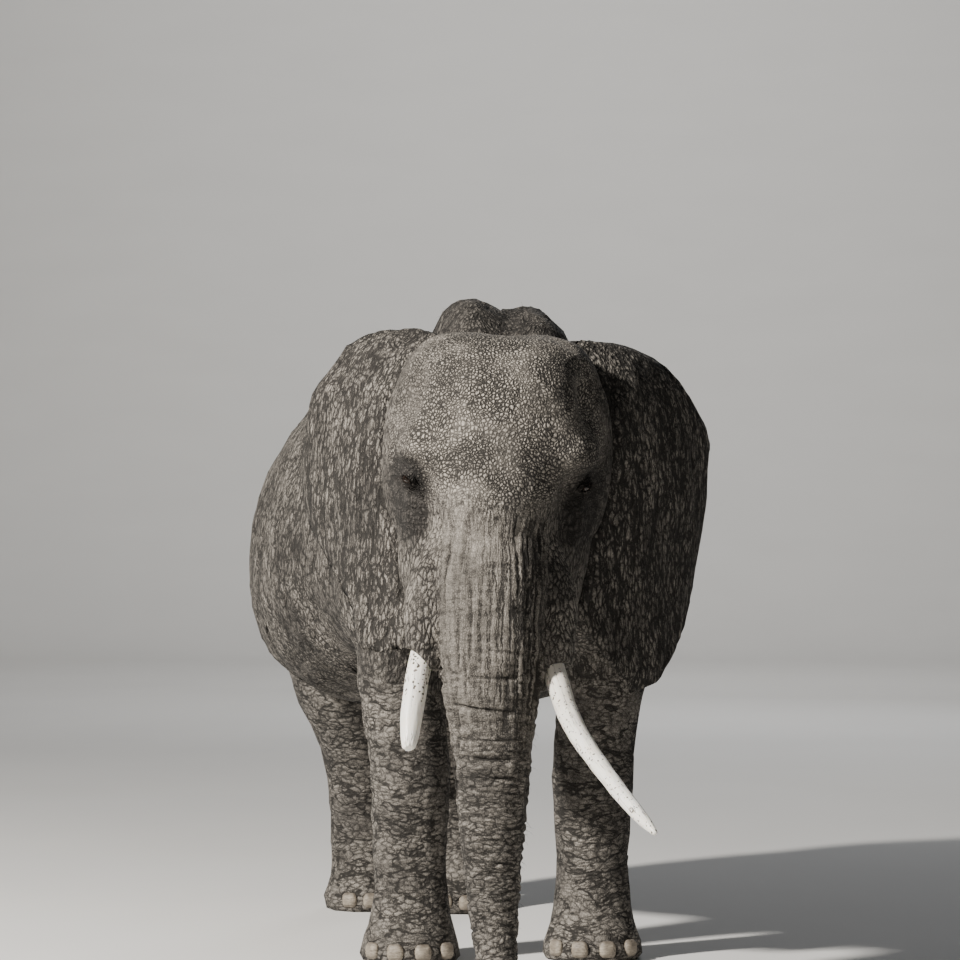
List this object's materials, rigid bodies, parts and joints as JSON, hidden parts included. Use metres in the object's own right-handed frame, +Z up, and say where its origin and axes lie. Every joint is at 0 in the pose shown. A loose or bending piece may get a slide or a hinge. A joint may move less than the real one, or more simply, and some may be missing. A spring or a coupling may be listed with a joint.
{
  "type": "elephant",
  "caption": "African savanna elephant bull standing square, ears laid back, trunk hanging to the ground, one long curved tusk and one tusk broken short.",
  "frame": {"origin": "middle of the footprint of the whole animal, on the ground under its belly", "axes": "the animal faces -Y, its left side is +X, +Z is up"},
  "size_m": [2.306, 5.5918, 3.2145],
  "materials": {
    "skin": "matte, deeply wrinkled and dusty",
    "ivory": "satin ivory with dark specks",
    "nail": "dull horn",
    "eye": "wet gloss",
    "hair": "wiry black bristle"
  },
  "bodies": {
    "root": {"right_fore_toenail_1": "nail", "right_fore_toenail_2": "nail", "right_fore_toenail_3": "nail", "right_fore_toenail_4": "nail", "left_fore_toenail_1": "nail", "left_fore_toenail_2": "nail", "left_fore_toenail_3": "nail", "left_fore_toenail_4": "nail", "right_hind_toenail_1": "nail", "right_hind_toenail_2": "nail", "right_hind_toenail_3": "nail", "left_hind_toenail_1": "nail", "left_hind_toenail_2": "nail", "left_hind_toenail_3": "nail", "torso": "skin", "right_fore_leg": "skin", "left_fore_leg": "skin", "right_hind_leg": "skin", "left_hind_leg": "skin", "head": "skin", "neck": "skin", "trunk_upper": "skin", "trunk_middle": "skin", "trunk_tip": "skin", "lower_jaw": "skin", "right_fore_foot": "skin", "left_fore_foot": "skin", "right_hind_foot": "skin", "left_hind_foot": "skin", "tail": "skin", "tail_tuft": "hair", "left_ear": "skin", "right_ear": "skin", "left_tusk": "ivory", "right_tusk_broken": "ivory", "left_eye": "eye", "right_eye": "eye"}
  },
  "joints": []
}
